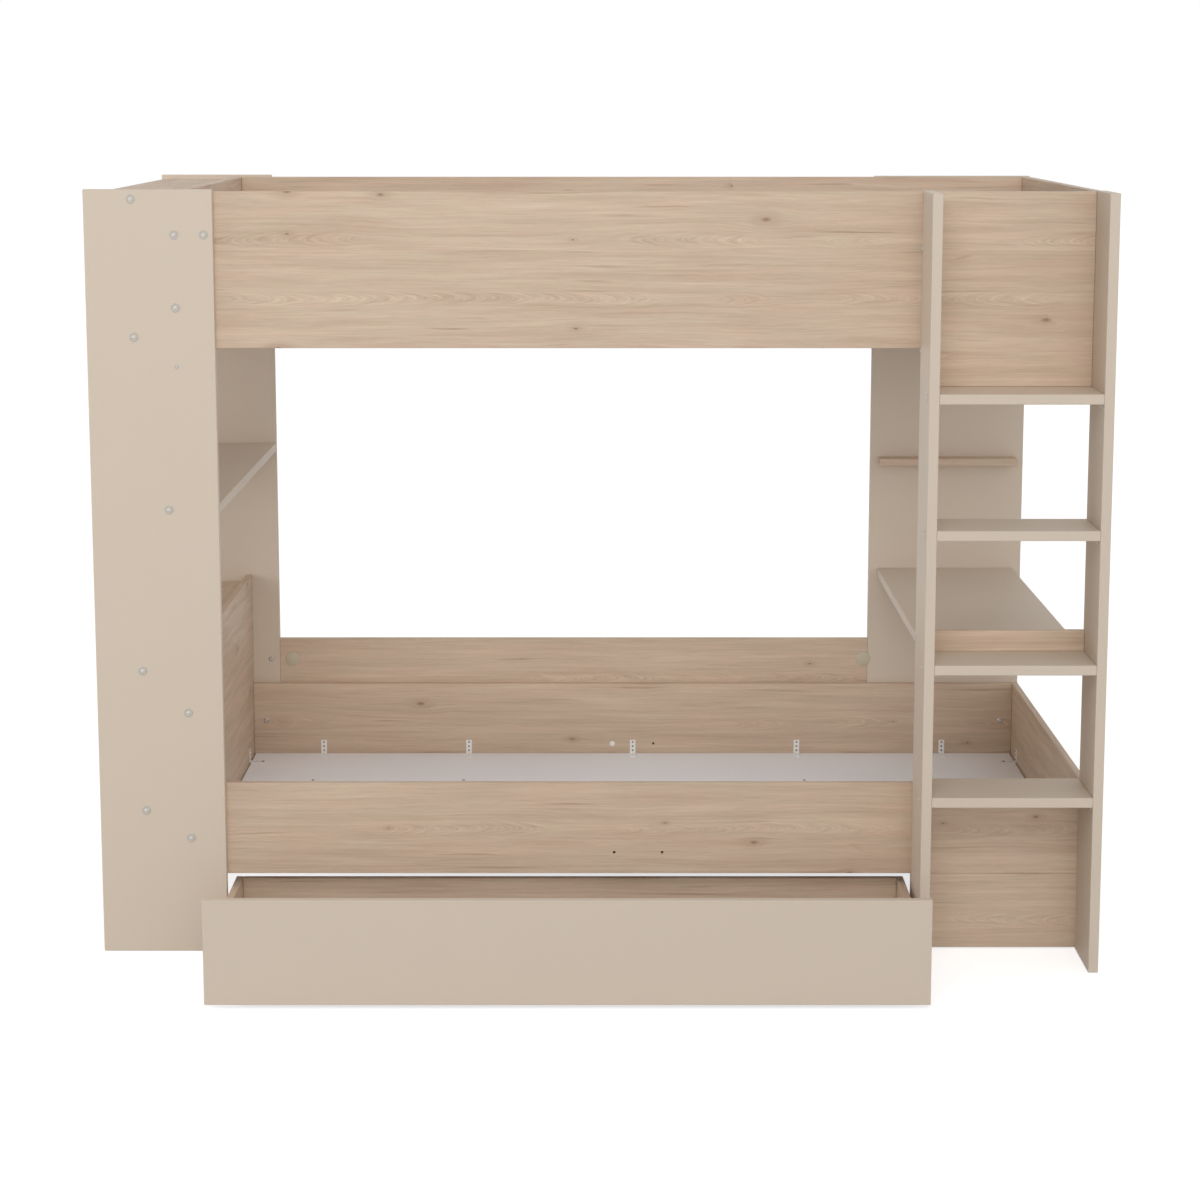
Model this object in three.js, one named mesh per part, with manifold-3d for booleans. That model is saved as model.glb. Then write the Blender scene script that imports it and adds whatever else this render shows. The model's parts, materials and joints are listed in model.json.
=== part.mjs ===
// A bunk bed of lacquered and wood-grain boards. At the head end stands an open shelf tower, at the
// foot end a ladder, a desk and a picture ledge, and a long drawer on castors rolls out from below.
// Units are millimetres. +X runs from head to foot, +Y from the ladder to the back, +Z up.
// Inside the builder's frame X starts at the tower's outer face, Y at the ladder's front and Z at
// the floor. The last group moves the origin to the middle of the footprint, drawer out.
import * as THREE from "three";
import { mergeVertices } from "three/addons/utils/BufferGeometryUtils.js";
import Module from "manifold-3d";

// Board stock
const PANEL = 18; // greige tower and rear panels, tower shelves, drawer front
const BOARD = 16; // long wood boards, lower end boards, drawer box
const PLANK = 22; // ladder, desk, middle shelf and upper end boards
const BASE_SHEET = 8; // white sheet under each mattress
const EASE = 1; // eased edge of every board
const SEAT_GAP = 0.3; // joint line between two boards that butt

// Overall layout
const LENGTH = 2236;
const LADDER_DEPTH = 157;
const BED_CLEAR_WIDTH = 914; // between the front and rear boards
const TOWER_HEIGHT = 1728;
const FOOT_DROP = 3; // ladder uprights and foot rear panel, below the tower's top
const GUARD_DROP = 5; // guards and upper end boards, below the tower's top

// Tower
const TOWER_WIDTH = 282;
const NICHE_DEPTH_UPPER = 186; // tower's outer face to the upper head board
const NICHE_DEPTH_LOWER = 196;
const TOWER_TOP_DROP = 12; // top board, below the panels' top edge
const UPPER_SHELF_DROP = 314.6; // shelf tops, below the panels' top edge
const MIDDLE_SHELF_DROP = 697.5;
const LOWER_SHELF_Z = 662.3; // shelf tops, above the floor
const BOTTOM_SHELF_Z = 339.7;

// Foot end
const LADDER_CLEAR_WIDTH = 355;
const FIRST_STEP_Z = 400;
const STEP_PITCH = 298.2;
const STEP_COUNT = 4;
const DESK_STEP = 2; // the desk is level with this step, counted from the floor
const DESK_LIP_RISE = 47;
const LEDGE_TOP_Z = 995;
const LEDGE_DEPTH = 50;

// Upper bunk
const UPPER_GUARD_HEIGHT = 345;
const UPPER_END_HEIGHT = 395;

// Lower bunk
const LOWER_BOARD_Z = 177; // underside of the lower bunk's boards
const LOWER_BOARD_HEIGHT = 212;
const LOWER_HEAD_HEIGHT = 503;
const MIDDLE_BOARD_RISE = 118; // above the lower rear board
const MIDDLE_BOARD_LAP = 32; // behind the lower rear board
const KICK_FLOOR_GAP = 2;
const DIVIDER_HOLE_RADIUS = 3; // spare drilled holes in the long lower boards
const DIVIDER_HOLE_SPACING = 109;
const DIVIDER_HOLE_RISE = 49; // above the underside of the boards

// Mattress bases, each on five battens
const BATTEN_HEIGHT = 15;
const BATTEN_WIDTH = 60;
const BASE_END_GAP = 4; // shadow line between a base and the end boards
const BASE_SIDE_GAP = 1;
const BATTEN_SPOT_SHARES = [0.092, 0.2836, 0.5, 0.7164, 0.908]; // of the bed's clear length

// Perforated brackets that tie the lower base to the rear board and the end boards
const BRACKET_WIDTH = 15;
const BRACKET_RISE = 36;
const BRACKET_REACH = 40;
const BRACKET_METAL = 2;
const BRACKET_HOLE_RADIUS = 2.4;
const BRACKET_HOLES_PER_LEG = 3;
const END_BRACKET_SETBACK = 89; // end brackets, in from the rear board

// Drawer
const DRAWER_OUT = 353.5; // how far it stands out at rest
const DRAWER_SIDE_CLEARANCE = 2; // front to the tower panel and to the ladder
const DRAWER_FRONT_Z = 8.5;
const DRAWER_FRONT_HEIGHT = 231.5;
const DRAWER_BOX_DEPTH = 416;
const DRAWER_BOX_INSET = 8.5; // box sides in from the ends of the front
const DRAWER_HEADROOM = 27; // under the lower bunk's boards
const DRAWER_BOTTOM_SHEET = 8;

// Castors
const WHEEL_RADIUS = 16;
const WHEEL_WIDTH = 14;
const AXLE_RADIUS = 3;
const AXLE_CLEARANCE = 0.4;
const WHEEL_FLANK_CLEARANCE = 1;
const CHEEK = 3; // wall of the housing beside the wheel
const CHEEK_WIDTH = 22;
const AXLE_COVER = 2; // cheek below the axle
const CASTOR_PLATE = 3;
const CASTOR_PLATE_LENGTH = 48;
const WHEEL_TOP_CLEARANCE = 5; // wheel to the plate above it
const CASTOR_END_INSET = 90; // wheel centre in from the ends of the box
const CASTOR_SIDE_INSET = 60; // wheel centre in from the box's front and back
const WHEEL_TREAD_EASE = 2;
const ROUND_STEPS = 32; // facets round a wheel
const SMALL_ROUND_STEPS = 12; // facets round a small hole or pin
const CUT_OVERRUN = 2; // how far a cutter runs past what it cuts

// Finishes
const greige = new THREE.MeshStandardMaterial({ color: "#d0c3b3", roughness: 0.55, metalness: 0 });
const wood = new THREE.MeshStandardMaterial({ color: "#ccb6a0", roughness: 0.6, metalness: 0 });
const whiteSheet = new THREE.MeshStandardMaterial({ color: "#d6d0cb", roughness: 0.5, metalness: 0 });
const rawBatten = new THREE.MeshStandardMaterial({ color: "#c9ad8b", roughness: 0.8, metalness: 0 });
const zincSteel = new THREE.MeshStandardMaterial({ color: "#d2d2d0", roughness: 0.35, metalness: 0.9 });
const castorShell = new THREE.MeshStandardMaterial({ color: "#3a3a3c", roughness: 0.5, metalness: 0 });
const castorTyre = new THREE.MeshStandardMaterial({ color: "#55565a", roughness: 0.7, metalness: 0 });

// Planes that several pieces share
const boardFrontY = LADDER_DEPTH;
const boardInnerFrontY = boardFrontY + BOARD;
const boardInnerRearY = boardInnerFrontY + BED_CLEAR_WIDTH;
const rearPanelY = boardInnerRearY + BOARD;
const backY = rearPanelY + PANEL;
const towerFrontY = boardFrontY - PANEL;
const upperHeadX = NICHE_DEPTH_UPPER;
const lowerHeadX = NICHE_DEPTH_LOWER;
const upperFootX = LENGTH - PLANK;
const lowerFootX = LENGTH - BOARD;
const ladderRightX = LENGTH - PLANK;
const ladderInnerX = ladderRightX - LADDER_CLEAR_WIDTH;
const ladderLeftX = ladderInnerX - PLANK;
const upperInnerX = [upperHeadX + PLANK, upperFootX];
const lowerInnerX = [lowerHeadX + BOARD, lowerFootX];
const footTopZ = TOWER_HEIGHT - FOOT_DROP;
const guardTopZ = TOWER_HEIGHT - GUARD_DROP;
const upperGuardZ = guardTopZ - UPPER_GUARD_HEIGHT;
const upperEndZ = guardTopZ - UPPER_END_HEIGHT;
const lowerBoardTopZ = LOWER_BOARD_Z + LOWER_BOARD_HEIGHT;
const lowerBaseTopZ = LOWER_BOARD_Z + BATTEN_HEIGHT + SEAT_GAP + BASE_SHEET;
const drawerFrontY = towerFrontY - DRAWER_OUT;
const drawerBoxY = drawerFrontY + PANEL;
const drawerBackY = drawerBoxY + DRAWER_BOX_DEPTH;
const drawerLeftX = TOWER_WIDTH + DRAWER_SIDE_CLEARANCE;
const drawerRightX = ladderLeftX - DRAWER_SIDE_CLEARANCE;
const boxLeftX = drawerLeftX + DRAWER_BOX_INSET;
const boxRightX = drawerRightX - DRAWER_BOX_INSET;
const castorHeight = 2 * WHEEL_RADIUS + WHEEL_TOP_CLEARANCE + CASTOR_PLATE;
const battenSpots = ([headX, footX]) =>
  BATTEN_SPOT_SHARES.map((share) => headX + share * (footX - headX));
const stepTopZ = (step) => FIRST_STEP_Z + (step - 1) * STEP_PITCH;

const bed = new THREE.Group();

function addPiece(name, geometry, material, position = new THREE.Vector3()) {
  const mesh = new THREE.Mesh(geometry, material);
  mesh.name = name;
  mesh.position.copy(position);
  bed.add(mesh);
  return mesh;
}

// Booleans join and cut closed meshes whose shared vertices are merged.
const wasm = await Module();
wasm.setup();

function toSolid(geometry) {
  const bare = geometry.index ? geometry.toNonIndexed() : geometry.clone();
  bare.deleteAttribute("normal");
  bare.deleteAttribute("uv");
  const merged = mergeVertices(bare);
  return new wasm.Manifold(new wasm.Mesh({
    numProp: 3,
    vertProperties: merged.attributes.position.array,
    triVerts: new Uint32Array(merged.index.array),
  }));
}

function toGeometry(solid) {
  const mesh = solid.getMesh();
  const geometry = new THREE.BufferGeometry();
  geometry.setAttribute("position", new THREE.BufferAttribute(mesh.vertProperties, mesh.numProp));
  geometry.setIndex(new THREE.BufferAttribute(mesh.triVerts, 1));
  geometry.computeVertexNormals();
  return geometry;
}

// A rectangle with its corners cut by the eased edge, centred on the origin.
function easedOutline(width, height, ease) {
  const x = width / 2;
  const y = height / 2;
  const outline = new THREE.Shape();
  outline.moveTo(-x + ease, -y);
  outline.lineTo(x - ease, -y);
  outline.lineTo(x, -y + ease);
  outline.lineTo(x, y - ease);
  outline.lineTo(x - ease, y);
  outline.lineTo(-x + ease, y);
  outline.lineTo(-x, y - ease);
  outline.lineTo(-x, -y + ease);
  outline.closePath();
  return outline;
}

// Turns a sheet drawn flat in XY so that its thickness runs along the given axis.
const sheetTurns = {
  x: new THREE.Matrix4().makeBasis(
    new THREE.Vector3(0, 1, 0), new THREE.Vector3(0, 0, 1), new THREE.Vector3(1, 0, 0)),
  y: new THREE.Matrix4().makeBasis(
    new THREE.Vector3(0, 0, 1), new THREE.Vector3(1, 0, 0), new THREE.Vector3(0, 1, 0)),
  z: new THREE.Matrix4(),
};
const sheetAxes = { x: ["y", "z"], y: ["z", "x"], z: ["x", "y"] };

// A board between three pairs of planes, thin along one axis, with all its edges eased. Holes go
// right through its thickness: each gives its centre on the two other axes, and its radius.
function board(name, material, thin, span, holes = []) {
  const low = new THREE.Vector3(span.x[0], span.y[0], span.z[0]);
  const high = new THREE.Vector3(span.x[1], span.y[1], span.z[1]);
  const size = high.clone().sub(low);
  const centre = low.clone().add(high).multiplyScalar(1 / 2);
  const [across, along] = sheetAxes[thin];
  const outline = easedOutline(size[across], size[along], EASE);
  for (const hole of holes) {
    const u = hole[across] - centre[across];
    const v = hole[along] - centre[along];
    const ring = new THREE.Path();
    ring.absarc(u, v, hole.radius, 0, 2 * Math.PI, true);
    outline.holes.push(ring);
  }
  const geometry = new THREE.ExtrudeGeometry(outline, {
    depth: size[thin] - 2 * EASE,
    bevelThickness: EASE,
    bevelSize: EASE,
    bevelOffset: -EASE,
    bevelSegments: 1,
    curveSegments: SMALL_ROUND_STEPS,
  });
  geometry.translate(0, 0, EASE - size[thin] / 2);
  geometry.applyMatrix4(sheetTurns[thin]);
  return addPiece(name, geometry, material, centre);
}

// A sheet that stands up and faces the ladder, between X planes and Z planes.
const facingSheet = (name, material, frontY, thickness, x, z, holes) =>
  board(name, material, "y", { x, y: [frontY, frontY + thickness], z }, holes);

// A sheet that stands up across the bed, between Y planes and Z planes.
const crossSheet = (name, material, leftX, thickness, y, z) =>
  board(name, material, "x", { x: [leftX, leftX + thickness], y, z });

// A sheet that lies flat with its top at a height, between X planes and Y planes.
const flatSheet = (name, material, topZ, thickness, x, y) =>
  board(name, material, "z", { x, y, z: [topZ - thickness, topZ] });

// The span between two planes, less the joint line at either end.
const between = (low, high) => [low + SEAT_GAP, high - SEAT_GAP];

// Shelf tower at the head end
function addTower() {
  const towerX = [0, TOWER_WIDTH];
  const fullHeight = [0, TOWER_HEIGHT];
  const shelfY = between(boardFrontY, rearPanelY);
  const upperNicheX = [0, upperHeadX - SEAT_GAP];
  const lowerNicheX = [0, lowerHeadX - SEAT_GAP];
  facingSheet("tower_front_panel", greige, towerFrontY, PANEL, towerX, fullHeight);
  facingSheet("tower_rear_panel", greige, rearPanelY, PANEL, towerX, fullHeight);
  flatSheet("tower_top_board", wood, TOWER_HEIGHT - TOWER_TOP_DROP, PANEL, upperNicheX, shelfY);
  flatSheet("tower_upper_shelf", wood, TOWER_HEIGHT - UPPER_SHELF_DROP, PANEL, upperNicheX, shelfY);
  flatSheet("tower_middle_shelf", greige, TOWER_HEIGHT - MIDDLE_SHELF_DROP, PLANK, towerX, shelfY);
  flatSheet("tower_lower_shelf", wood, LOWER_SHELF_Z, PANEL, lowerNicheX, shelfY);
  flatSheet("tower_bottom_shelf", wood, BOTTOM_SHELF_Z, PANEL, lowerNicheX, shelfY);
}

// Ladder, desk and picture ledge at the foot end
function addFootEnd() {
  const uprightY = [0, boardFrontY - SEAT_GAP];
  const uprightZ = [0, footTopZ];
  const clearX = between(ladderInnerX, ladderRightX);
  const infillFrontY = boardFrontY - SEAT_GAP - BOARD;
  const deskZ = stepTopZ(DESK_STEP);
  const topStepZ = stepTopZ(STEP_COUNT);
  crossSheet("ladder_left_upright", greige, ladderLeftX, PLANK, uprightY, uprightZ);
  crossSheet("ladder_right_upright", greige, ladderRightX, PLANK, uprightY, uprightZ);
  for (let step = 1; step <= STEP_COUNT; step += 1) {
    flatSheet(`ladder_step_${step}`, greige, stepTopZ(step), PLANK, clearX, uprightY);
  }
  facingSheet("ladder_infill_panel", wood, infillFrontY, BOARD, clearX,
    [topStepZ + SEAT_GAP, guardTopZ]);
  facingSheet("desk_front_lip", wood, infillFrontY, BOARD, clearX,
    [deskZ + SEAT_GAP, deskZ + DESK_LIP_RISE]);
  facingSheet("foot_rear_panel", greige, rearPanelY, PANEL, [ladderLeftX, LENGTH], [0, footTopZ]);
  flatSheet("desk_top", greige, deskZ, PLANK, [ladderInnerX, ladderRightX],
    between(boardFrontY, rearPanelY));
  flatSheet("picture_ledge", wood, LEDGE_TOP_Z, PANEL, [ladderInnerX, ladderRightX],
    [rearPanelY - LEDGE_DEPTH, rearPanelY - SEAT_GAP]);
  facingSheet("kick_panel", wood, boardFrontY, BOARD, [ladderLeftX, lowerFootX - SEAT_GAP],
    [KICK_FLOOR_GAP, LOWER_BOARD_Z - SEAT_GAP]);
}

// Both mattress bases lie on battens that run across between the long boards.
function addBase(bunk, undersideZ, innerX) {
  const battenTopZ = undersideZ + BATTEN_HEIGHT;
  const battenY = between(boardInnerFrontY, boardInnerRearY);
  battenSpots(innerX).forEach((x, index) => {
    flatSheet(`${bunk}_batten_${index + 1}`, rawBatten, battenTopZ, BATTEN_HEIGHT,
      [x - BATTEN_WIDTH / 2, x + BATTEN_WIDTH / 2], battenY);
  });
  flatSheet(`${bunk}_base`, whiteSheet, battenTopZ + SEAT_GAP + BASE_SHEET, BASE_SHEET,
    [innerX[0] + BASE_END_GAP, innerX[1] - BASE_END_GAP],
    [boardInnerFrontY + BASE_SIDE_GAP, boardInnerRearY - BASE_SIDE_GAP]);
}

function addUpperBunk() {
  const guardX = between(...upperInnerX);
  const guardZ = [upperGuardZ, guardTopZ];
  const endZ = [upperEndZ, guardTopZ];
  const endY = between(boardFrontY, rearPanelY);
  facingSheet("upper_front_guard", wood, boardFrontY + SEAT_GAP, BOARD - SEAT_GAP, guardX, guardZ);
  facingSheet("upper_rear_guard", wood, boardInnerRearY, BOARD - SEAT_GAP, guardX, guardZ);
  crossSheet("upper_head_board", wood, upperHeadX, PLANK, endY, endZ);
  crossSheet("upper_foot_board", wood, upperFootX, PLANK, endY, endZ);
  addBase("upper", upperGuardZ, upperInnerX);
}

function addLowerBunk() {
  const boardX = between(...lowerInnerX);
  const middleX = (lowerInnerX[0] + lowerInnerX[1]) / 2;
  const boardZ = [LOWER_BOARD_Z, lowerBoardTopZ];
  const endY = between(boardFrontY, rearPanelY);
  const spareHoles = [-1, 1].map((side) => ({
    x: middleX + side * DIVIDER_HOLE_SPACING / 2,
    z: LOWER_BOARD_Z + DIVIDER_HOLE_RISE,
    radius: DIVIDER_HOLE_RADIUS,
  }));
  facingSheet("lower_front_board", wood, boardFrontY + SEAT_GAP, BOARD - SEAT_GAP,
    boardX, boardZ, spareHoles);
  facingSheet("lower_rear_board", wood, boardInnerRearY, BOARD - SEAT_GAP,
    boardX, boardZ, spareHoles);
  crossSheet("lower_head_board", wood, lowerHeadX, BOARD, endY,
    [LOWER_BOARD_Z, LOWER_BOARD_Z + LOWER_HEAD_HEIGHT]);
  crossSheet("lower_foot_board", wood, lowerFootX, BOARD, endY, boardZ);
  addBase("lower", LOWER_BOARD_Z, lowerInnerX);
  facingSheet("rear_middle_board", wood, rearPanelY, PANEL, between(TOWER_WIDTH, ladderLeftX),
    [lowerBoardTopZ - MIDDLE_BOARD_LAP, lowerBoardTopZ + MIDDLE_BOARD_RISE]);
}

// One bent strap whose upright leg backs onto a board at Y = 0 and whose flat leg lies on the base,
// both perforated with evenly spread holes.
function bracketGeometry() {
  const profile = new THREE.Shape();
  profile.moveTo(0, 0);
  profile.lineTo(0, BRACKET_RISE);
  profile.lineTo(-BRACKET_METAL, BRACKET_RISE);
  profile.lineTo(-BRACKET_METAL, BRACKET_METAL);
  profile.lineTo(-BRACKET_REACH, BRACKET_METAL);
  profile.lineTo(-BRACKET_REACH, 0);
  profile.closePath();
  const strap = new THREE.ExtrudeGeometry(profile, { depth: BRACKET_WIDTH, bevelEnabled: false });
  strap.translate(0, 0, -BRACKET_WIDTH / 2);
  strap.applyMatrix4(sheetTurns.x);
  let solid = toSolid(strap);
  const drill = new THREE.CylinderGeometry(
    BRACKET_HOLE_RADIUS, BRACKET_HOLE_RADIUS, BRACKET_METAL + 2 * CUT_OVERRUN, SMALL_ROUND_STEPS);
  for (let hole = 0; hole < BRACKET_HOLES_PER_LEG; hole += 1) {
    const spotShare = (hole + 1 / 2) / BRACKET_HOLES_PER_LEG;
    const up = BRACKET_METAL + spotShare * (BRACKET_RISE - BRACKET_METAL);
    const out = BRACKET_METAL + spotShare * (BRACKET_REACH - BRACKET_METAL);
    const uprightCut = drill.clone().translate(0, -BRACKET_METAL / 2, up);
    const flatCut = drill.clone().rotateX(Math.PI / 2).translate(0, -out, BRACKET_METAL / 2);
    solid = solid.subtract(toSolid(uprightCut)).subtract(toSolid(flatCut));
  }
  return toGeometry(solid);
}

function addBrackets() {
  const z = lowerBaseTopZ + SEAT_GAP;
  battenSpots(lowerInnerX).forEach((x, index) => {
    addPiece(`base_bracket_${index + 1}`, bracketGeometry(), zincSteel,
      new THREE.Vector3(x, boardInnerRearY - SEAT_GAP, z));
  });
  const endY = boardInnerRearY - END_BRACKET_SETBACK;
  const headBracket = addPiece("base_bracket_head", bracketGeometry(), zincSteel,
    new THREE.Vector3(lowerInnerX[0] + SEAT_GAP, endY, z));
  headBracket.rotation.z = Math.PI / 2;
  const footBracket = addPiece("base_bracket_foot", bracketGeometry(), zincSteel,
    new THREE.Vector3(lowerInnerX[1] - SEAT_GAP, endY, z));
  footBracket.rotation.z = -Math.PI / 2;
}

// A wheel round the X axis, with eased treads and a bore for the axle.
function wheelGeometry() {
  const half = WHEEL_WIDTH / 2;
  const bore = AXLE_RADIUS + AXLE_CLEARANCE;
  const shoulder = WHEEL_RADIUS - WHEEL_TREAD_EASE;
  const profile = [
    [bore, -half], [shoulder, -half], [WHEEL_RADIUS, -half + WHEEL_TREAD_EASE],
    [WHEEL_RADIUS, half - WHEEL_TREAD_EASE], [shoulder, half], [bore, half], [bore, -half],
  ].map(([radius, height]) => new THREE.Vector2(radius, height));
  return new THREE.LatheGeometry(profile, ROUND_STEPS).rotateZ(Math.PI / 2);
}

// The housing: a plate under the drawer bottom, two cheeks beside the wheel, and the axle.
function castorGeometry() {
  const cheekX = WHEEL_WIDTH / 2 + WHEEL_FLANK_CLEARANCE;
  const topZ = castorHeight - WHEEL_RADIUS - SEAT_GAP;
  const plate = new THREE.BoxGeometry(2 * (cheekX + CHEEK), CASTOR_PLATE_LENGTH, CASTOR_PLATE);
  plate.translate(0, 0, topZ - CASTOR_PLATE / 2);
  let solid = toSolid(plate);
  const cheekHeight = topZ + AXLE_RADIUS + AXLE_COVER;
  for (const side of [-1, 1]) {
    const cheek = new THREE.BoxGeometry(CHEEK, CHEEK_WIDTH, cheekHeight);
    cheek.translate(side * (cheekX + CHEEK / 2), 0, topZ - cheekHeight / 2);
    solid = solid.add(toSolid(cheek));
  }
  const axle = new THREE.CylinderGeometry(
    AXLE_RADIUS, AXLE_RADIUS, 2 * cheekX + CHEEK, SMALL_ROUND_STEPS);
  axle.rotateZ(Math.PI / 2);
  return toGeometry(solid.add(toSolid(axle)));
}

function addDrawer() {
  const boxX = [boxLeftX, boxRightX];
  const wallY = [drawerBoxY + SEAT_GAP, drawerBackY];
  const bottomTopZ = castorHeight + DRAWER_BOTTOM_SHEET;
  const wallZ = [bottomTopZ + SEAT_GAP, LOWER_BOARD_Z - DRAWER_HEADROOM];
  facingSheet("drawer_front", greige, drawerFrontY, PANEL, [drawerLeftX, drawerRightX],
    [DRAWER_FRONT_Z, DRAWER_FRONT_Z + DRAWER_FRONT_HEIGHT]);
  flatSheet("drawer_bottom", whiteSheet, bottomTopZ, DRAWER_BOTTOM_SHEET, boxX, wallY);
  crossSheet("drawer_left_side", wood, boxLeftX, BOARD, wallY, wallZ);
  crossSheet("drawer_right_side", wood, boxRightX - BOARD, BOARD, wallY, wallZ);
  facingSheet("drawer_back", wood, drawerBackY - BOARD, BOARD,
    between(boxLeftX + BOARD, boxRightX - BOARD), wallZ);
}

function addCastors() {
  const corners = [
    ["front_left", boxLeftX + CASTOR_END_INSET, drawerBoxY + CASTOR_SIDE_INSET],
    ["front_right", boxRightX - CASTOR_END_INSET, drawerBoxY + CASTOR_SIDE_INSET],
    ["rear_left", boxLeftX + CASTOR_END_INSET, drawerBackY - CASTOR_SIDE_INSET],
    ["rear_right", boxRightX - CASTOR_END_INSET, drawerBackY - CASTOR_SIDE_INSET],
  ];
  for (const [corner, x, y] of corners) {
    const axle = new THREE.Vector3(x, y, WHEEL_RADIUS);
    addPiece(`castor_housing_${corner}`, castorGeometry(), castorShell, axle);
    addPiece(`castor_wheel_${corner}`, wheelGeometry(), castorTyre, axle);
  }
}

addTower();
addFootEnd();
addUpperBunk();
addLowerBunk();
addBrackets();
addDrawer();
addCastors();

// The origin is the middle of the footprint, from the drawer's front to the back of the rear panels.
bed.position.set(-LENGTH / 2, -(drawerFrontY + backY) / 2, 0);
const part = new THREE.Group();
part.add(bed);

export default part;
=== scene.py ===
"""Looks of a bunk bed: lacquered and oak-decor boards, its small fittings, and a studio to show it in.

Lengths are metres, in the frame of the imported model: +X from the shelf tower to the ladder end,
+Y from the ladder side to the wall side, +Z up.
"""
import json
import math
import bmesh
import bpy
from mathutils import Matrix, Vector


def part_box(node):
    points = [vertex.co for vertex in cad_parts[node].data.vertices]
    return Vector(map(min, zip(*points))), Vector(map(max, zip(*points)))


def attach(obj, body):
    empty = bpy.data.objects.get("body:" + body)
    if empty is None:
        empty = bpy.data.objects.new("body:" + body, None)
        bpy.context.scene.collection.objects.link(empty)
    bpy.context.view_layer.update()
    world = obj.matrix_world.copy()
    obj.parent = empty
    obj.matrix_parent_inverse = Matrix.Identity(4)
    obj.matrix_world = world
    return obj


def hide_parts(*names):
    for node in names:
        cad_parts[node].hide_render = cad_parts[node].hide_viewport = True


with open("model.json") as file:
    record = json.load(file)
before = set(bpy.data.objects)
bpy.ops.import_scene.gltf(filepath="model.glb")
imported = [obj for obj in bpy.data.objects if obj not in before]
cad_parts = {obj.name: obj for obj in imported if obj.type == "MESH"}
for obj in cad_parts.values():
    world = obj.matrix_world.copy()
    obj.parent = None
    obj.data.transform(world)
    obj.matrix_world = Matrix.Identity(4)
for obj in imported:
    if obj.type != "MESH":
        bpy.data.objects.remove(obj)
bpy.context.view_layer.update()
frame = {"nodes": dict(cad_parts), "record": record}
MM = 0.001

# Colours as they show in plain light, in sRGB
GREIGE = (213, 198, 181)
GREIGE_SHADE = (211, 196, 179)
OAK_PALE = (218, 199, 176)
OAK_WARM = (221, 197, 175)
OAK_LINE = (169, 141, 119)
OAK_KNOT = (140, 106, 82)
PINE_PALE = (222, 200, 165)
PINE_WARM = (209, 180, 140)
PINE_LINE = (182, 146, 104)
PINE_KNOT = (132, 92, 58)
WHITE_SHEET = (251, 251, 254)
WHITE_SPECK = (247, 247, 250)
ZINC = (249, 247, 245)
ZINC_DULL = (240, 238, 236)
STEEL = (204, 200, 195)
STEEL_DULL = (178, 174, 169)
# Darker screw steel, partly painted shade: it stands in for the shade in the holes and recesses the
# screws sit in
SCREW_PAINTED_SHADE = (146, 140, 134)
SCREW_PAINTED_SHADE_DULL = (124, 118, 112)
# Painted shade: a drilled hole's floor, far darker than the board's core, for the shade deep in the hole
BORE_PAINTED_SHADE = (44, 30, 22)
BORE_PAINTED_SHADE_DEEP = (36, 24, 17)
CAP = (215, 211, 204)
CAP_SHADE = (209, 205, 198)
# Painted shade: the darker tone of a cap's ring outside its dome
CAP_RIM_PAINTED_SHADE = (192, 186, 176)
DISC = (199, 189, 165)
DISC_SHADE = (192, 182, 158)
SHELL = (58, 58, 61)
SHELL_SHADE = (50, 50, 53)
TYRE = (92, 93, 98)
TYRE_SHADE = (82, 83, 88)
HUB = (150, 151, 154)
HUB_SHADE = (138, 139, 142)

# Finishes: the boards' gloss, how far specks and clouds tint a surface, and how rough the specks make it
BOARD_GLOSS = 0.2
SPECK_TINT = 0.4
SPECK_RELIEF = 0.1 * MM
CLOUD_TINT = 0.6
ROUGHNESS_DROP = 0.04
ROUGHNESS_RISE = 0.05
# Where on a cap, as a share of its widest reach, the painted shade of its rim fades in
RIM_SHADE_FADE = (0.4, 0.62)

# Where nearly all values of a noise lie, and how strong the finest parts of a fine one are
NOISE_SPAN = (0.3, 0.7)
FINE_NOISE = 0.6

# Wood decor: planks, how far one's figure is slid against the next's, and the band of arches in each
PLANK_WIDTH = 0.128
PLANK_SLIDE = 31.0
PLANK_STEP = 5.3
BOARD_STEP = 3.37
BAND_SHARE = 0.84
ARCH_PITCH = 0.0105
ARCH_WIDTH = 0.0062
ARCH_WAVER = 60.0
ARCH_FADE = (0.009, 0.021)
ARCH_OPENINGS = (0.003, 0.0085)
OPENING_SCALE = 2.1
OPENING_CHANCE = (0.40, 0.58)
OPENING_SIZES = (0.001, 0.0115)

# Wood decor: knots, in some cells of a loose grid
KNOT_SPACING = 0.21
KNOT_LANE = KNOT_SPACING / 3
KNOT_LOOSENESS = 0.8
KNOT_STRETCH = 2.3
KNOT_RARITY = 0.83
KNOT_SIZES = (0.0012, 0.0038)
KNOT_EDGE = 0.0032
KNOT_RING = 0.0042
KNOT_CORE_FADE = (0.2, 1.7)
KNOT_HALO_FADE = (0.8, 6.5)
KNOT_PUSH = 7.0
KNOT_PUSH_EASE = 0.35

# Wood decor: scales of the figure along the grain and across it, and how far threads swing
KNOT_EDGE_SCALES = (160.0, 330.0)
SWAY_SCALES = (2.3, 9.0)
SWAY_REACH = 0.022
RIPPLE_SCALES = (13.0, 60.0)
RIPPLE_REACH = 0.0035
BROAD_SCALES = (2.6, 48.0)
LINE_SCALES = (6.0, 230.0)
FIBRE_SCALES = (30.0, 560.0)
PORE_SCALES = (60.0, 900.0)
PORE_FADE = (0.60, 0.78)
STREAK_SCALES = (4.4, 130.0)
STREAK_FADE = (0.74, 0.88)
BLOTCH_SCALES = (6.5, 34.0)

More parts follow.
